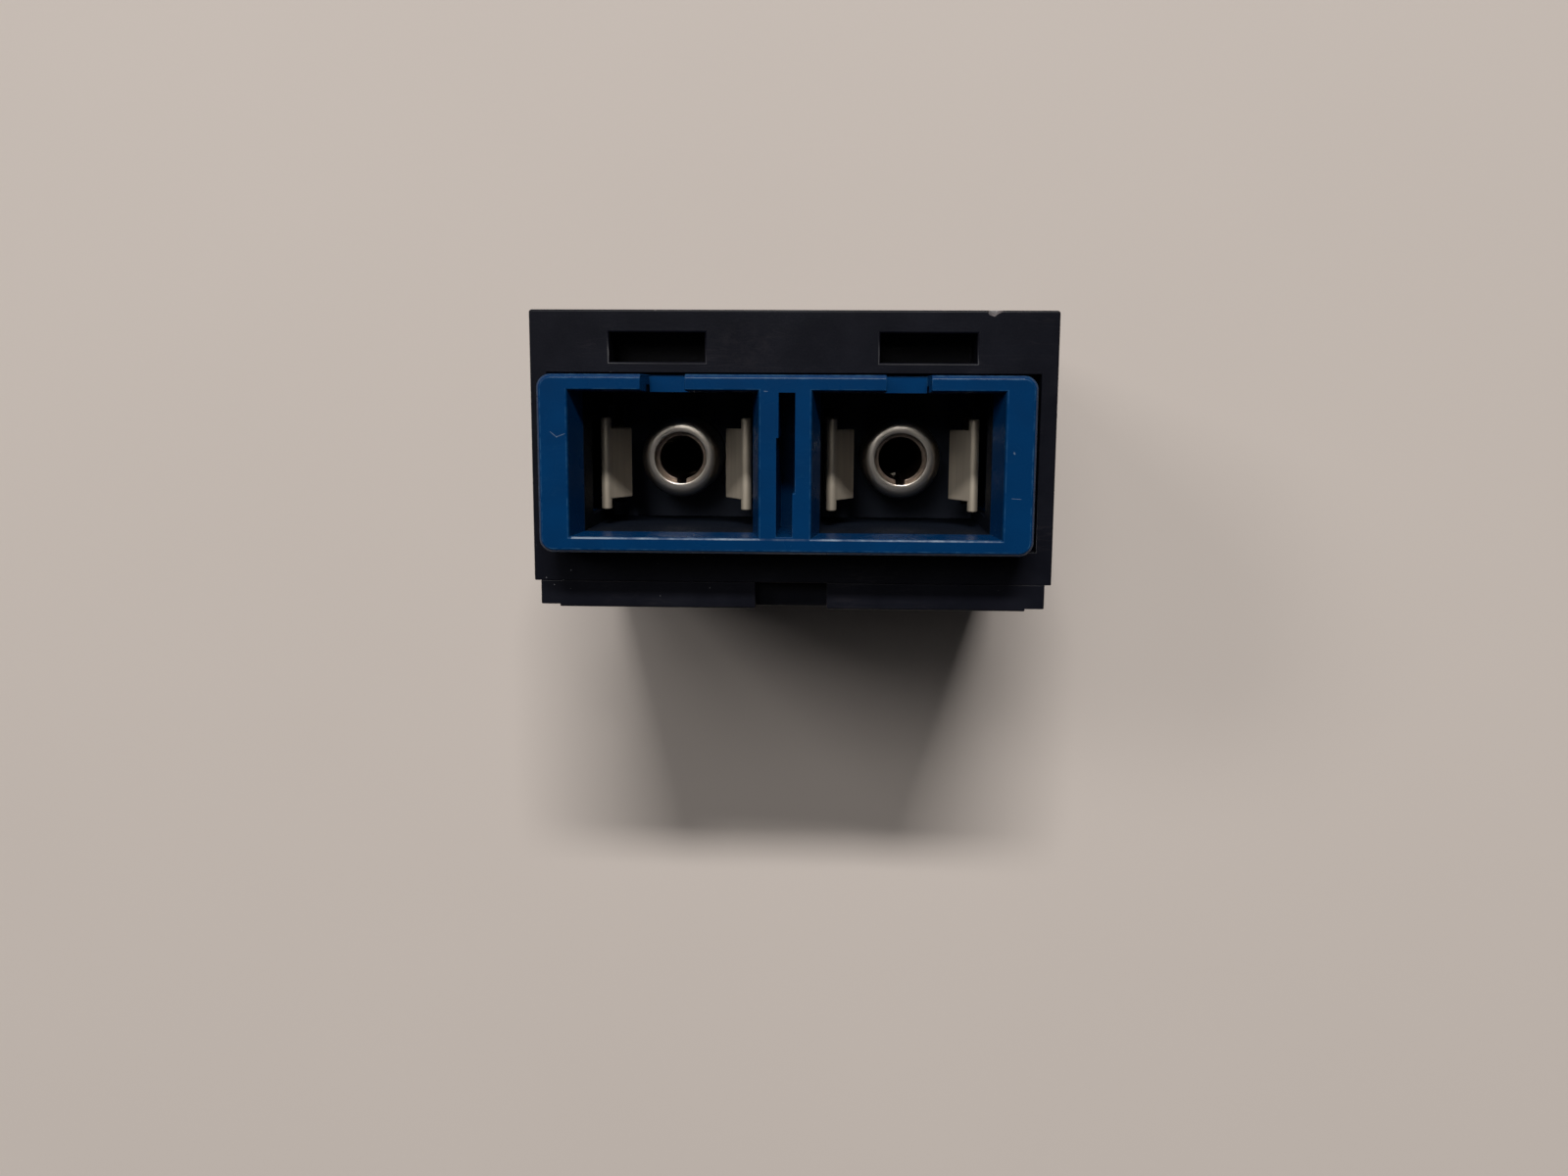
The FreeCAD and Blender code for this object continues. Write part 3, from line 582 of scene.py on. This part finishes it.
def knockChips(piece, look=chips):
    draw = random.Random(look["seed"])
    for name, chip in look["places"].items():
        bm = bmesh.new()
        bmesh.ops.create_icosphere(bm, subdivisions=look["grit"], radius=1.0)
        for point in bm.verts:
            reach = draw.uniform(*look["reach"])
            point.co = Vector([mm * (middle + size * reach * side) for middle, size, side
                               in zip(chip["at"], chip["size"], point.co)])
        cutter = newPiece("chip_" + name, bm, brokenPart)
        cut = piece.modifiers.new(name, "BOOLEAN")
        cut.operation = "DIFFERENCE"
        cut.solver = "EXACT"
        cut.material_mode = "TRANSFER"
        cut.object = cutter
        settle(piece)
        bpy.data.objects.remove(cutter)
    return piece


# Housing shell and base
shellLook = {
    "edge": 0.045, "steps": 2,
    "zones": [  # the rims of the two blind pockets are softer
        {"low": (-11, 5, shellFront - 0.1), "high": (-4, 7.5, shellFront + 0.1), "edge": 0.12},
        {"low": (4, 5, shellFront - 0.1), "high": (11, 7.5, shellFront + 0.1), "edge": 0.12},
    ],
}
baseLook = {"edge": 0.045, "steps": 2}

shell = smoothFaces(knockChips(brokenCorners("housingShell", "housing_shell", shellLook, blackPart)))
standFor(shell, "housing_shell")
base = smoothFaces(brokenCorners("housingBase", "housing_base", baseLook, blackPart))
standFor(base, "housing_base")
print("housing: shell", len(shell.data.polygons), "faces, base", len(base.data.polygons))


# Adapter halves
adapterLook = {"edge": 0.04, "steps": 2}
for end in ("front", "rear"):
    node = "adapter_" + end
    half = smoothFaces(brokenCorners(node + "_moulding", node, adapterLook, bluePart))
    standFor(half, node)
    print("adapter", end, len(half.data.polygons), "faces")


# Turned barrels; their length and their collar's width come from the frame
barrelLook = {
    "radius": 2.275, "collar": 0.8, "bore": 1.65,
    "lipBore": 1.48, "lip": 0.55, "lipRound": 0.56, "lipBreak": 0.05, "corner": 0.05,
    "around": 96, "roundSteps": 8,
}


def barrelProfile(look, length, collarRadius):
    # (radius, height) points, corners rounded by short arcs
    corner = look["corner"]
    inside = length - look["lip"]
    corners = (
        (look["bore"], 0, corner), (collarRadius, 0, corner),
        (collarRadius, look["collar"], corner), (look["radius"], look["collar"], corner),
        (look["radius"], length, look["lipRound"]), (look["lipBore"], length, look["lipBreak"]),
        (look["lipBore"], inside, corner), (look["bore"], inside, corner),
    )
    points = []
    for index, (radius, height, fillet) in enumerate(corners):
        here = Vector((radius, height))
        before = (Vector(corners[index - 1][:2]) - here).normalized()
        after = (Vector(corners[(index + 1) % len(corners)][:2]) - here).normalized()
        middle = here + fillet * (before + after)
        for step in range(look["roundSteps"] + 1):
            angle = math.pi / 2 * step / look["roundSteps"]
            points.append(middle - fillet * (after * math.cos(angle) + before * math.sin(angle)))
    return points


def turnBarrel(name, node, look=barrelLook):
    low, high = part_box(node)
    axis = (low + high) / 2
    up = 1 if "front" in node else -1  # which way its lip faces
    foot = low.z if up > 0 else high.z
    profile = barrelProfile(look, (high.z - low.z) / mm, (high.x - low.x) / 2 / mm)
    bm = bmesh.new()
    along = bm.verts.layers.float.new("along")
    around = bm.verts.layers.float.new("around")
    rings = []
    run = 0.0
    for index, point in enumerate(profile):
        run += (point - profile[index - 1]).length if index else 0.0
        ring = []
        for step in range(look["around"]):
            angle = up * 2 * math.pi * step / look["around"]
            reach = mm * point.x
            vert = bm.verts.new((axis.x + reach * math.cos(angle), axis.y + reach * math.sin(angle),
                                 foot + up * mm * point.y))
            vert[along] = run
            vert[around] = 2 * abs(2 * step / look["around"] - 1)  # out and back, so that streaks meet
            ring.append(vert)
        rings.append(ring)
    for index, ring in enumerate(rings):
        after = rings[(index + 1) % len(rings)]
        for step in range(look["around"]):
            side = (step + 1) % look["around"]
            bm.faces.new((ring[step], ring[side], after[side], after[step])).smooth = True
    bmesh.ops.recalc_face_normals(bm, faces=bm.faces)
    return newPiece(name, bm, nickelPart)


for end in ("front", "rear"):
    for port in ("left", "right"):
        node = "barrel_" + end + "_" + port
        barrel = standFor(turnBarrel(node + "_turned", node), node)
print("barrels:", len(barrel.data.polygons), "faces each")


# Folded hooks, port floors and liners, and split sleeves keep their solids' form with broken corners
hookLook = {"edge": 0.08, "steps": 3}
floorLook = {"edge": 0.03, "steps": 2}
linerLook = {"edge": 0.03, "steps": 2}
sleeveLook = {"edge": 0.04, "steps": 2}
smallPieces = (
    ("latch", hookLook, steelPart, "latch_steel"),
    ("carrier", floorLook, floorPaintedLightPart, "dark_plastic"),
    ("liner", linerLook, liningPaintedShadePart, "dark_plastic"),
    ("sleeve", sleeveLook, bronzePaintedShadePart, "sleeve_bronze"),
)
for kind, look, material, slot in smallPieces:
    for node in sorted(nodes):
        if node.startswith(kind + "_"):
            piece = smoothFaces(brokenCorners(node + "_piece", node, look, material))
            standFor(piece, node)
    print(kind, "pieces:", len(piece.data.polygons), "faces each")


# Table; its half width is in metres
tableLook = {
    "pale": (0.565, 0.508, 0.472, 1), "shade": (0.53, 0.476, 0.442, 1), "clouds": 0.02,
    "rough": 0.62, "gloss": 0.2, "half": 2.5,
}


def makeTable(look=tableLook):
    plain = {"Roughness": look["rough"], "Specular IOR Level": look["gloss"]}
    material, tree, shader = newMaterial("paleTable", plain)
    cloud = noise(tree, millimetres(tree), look["clouds"], detail=3.0)
    feed(tree, mixColor(tree, cloud, look["shade"], look["pale"]), shader["Base Color"])
    bm = bmesh.new()
    bmesh.ops.create_grid(bm, x_segments=1, y_segments=1, size=look["half"])
    table = newPiece("table", bm, material)
    table.location.z = cadLow.z


makeTable()

# Soft boxes, in metres and degrees; a share is a lamp's part of the light on the table
lightLevel = 0.97  # what the lamps together give a white table
lampColor = (1.0, 0.98, 0.95)
lamps = {
    "behindLow": {"elevation": 48.6, "bearing": 2, "away": 1.4, "wide": 0.55, "tall": 0.1, "share": 0.728},
    "behindHigh": {"elevation": 64, "bearing": -22, "away": 1.4, "wide": 0.4, "tall": 0.48, "share": 0.135},
    "leftSide": {"elevation": 44, "bearing": -57, "away": 1.2, "wide": 0.35, "tall": 0.25, "share": 0.124},
    "nearTop": {"elevation": 78.5, "bearing": -12, "away": 1.2, "wide": 0.14, "tall": 0.08, "share": 0.01},
    "frontHigh": {"elevation": 66, "bearing": 178, "away": 1.2, "wide": 0.16, "tall": 0.14, "share": 0.004},
}


def hangLamp(name, lamp):
    lift = math.radians(lamp["elevation"])
    turn = math.radians(lamp["bearing"])  # from straight behind, to the right
    level = math.cos(lift)
    toward = Vector((level * math.sin(turn), level * math.cos(turn), math.sin(lift)))
    light = bpy.data.lights.new(name, "AREA")
    light.shape = "RECTANGLE"
    light.size = lamp["wide"]
    light.size_y = lamp["tall"]
    light.energy = lamp["share"] * lightLevel * (math.pi * lamp["away"]) ** 2 / math.sin(lift)
    light.color = lampColor
    holder = bpy.data.objects.new(name, light)
    holder.location = toward * lamp["away"]
    holder.rotation_euler = (-toward).to_track_quat("-Z", "Y").to_euler()
    scene.collection.objects.link(holder)


for name, lamp in lamps.items():
    hangLamp(name, lamp)

# A dim room with paler walls; a wall's foot and top are sines of the angle above the table
roomLook = {
    "overhead": (0.016, 0.016, 0.017, 1), "walls": (0.075, 0.074, 0.072, 1),
    "wallFoot": 0.05, "wallTop": 0.42,
}


def makeRoom(look=roomLook):
    world = bpy.data.worlds.new("room")
    world.use_nodes = True
    scene.world = world
    tree = world.node_tree
    place = addNode(tree, "ShaderNodeTexCoord").outputs["Generated"]
    height = addNode(tree, "ShaderNodeSeparateXYZ", {"Vector": place}).outputs["Z"]
    upwards = ramp(tree, height, look["wallFoot"], look["wallTop"])
    color = mixColor(tree, upwards, look["walls"], look["overhead"])
    feed(tree, color, tree.nodes["Background"].inputs["Color"])


makeRoom()
print("stage: table,", len(lamps), "soft boxes and a dim room")

# Camera, as the picture was taken: close, from above, tipped a little
cameraLook = {
    "lens": 29.759, "sensor": 36.0, "nearest": 1.0,
    "at": (2.43, 3.579, 95.427), "turn": (-8.452, 2.329, 0.301),
}
camera = bpy.data.objects.new("camera", bpy.data.cameras.new("camera"))
camera.data.lens = cameraLook["lens"]
camera.data.sensor_width = cameraLook["sensor"]
camera.data.clip_start = cameraLook["nearest"] * mm
camera.location = [side * mm for side in cameraLook["at"]]
camera.rotation_euler = [math.radians(angle) for angle in cameraLook["turn"]]
scene.collection.objects.link(camera)
scene.camera = camera
print("camera: a", cameraLook["lens"], "mm lens,", cameraLook["at"][2], "mm above the table")
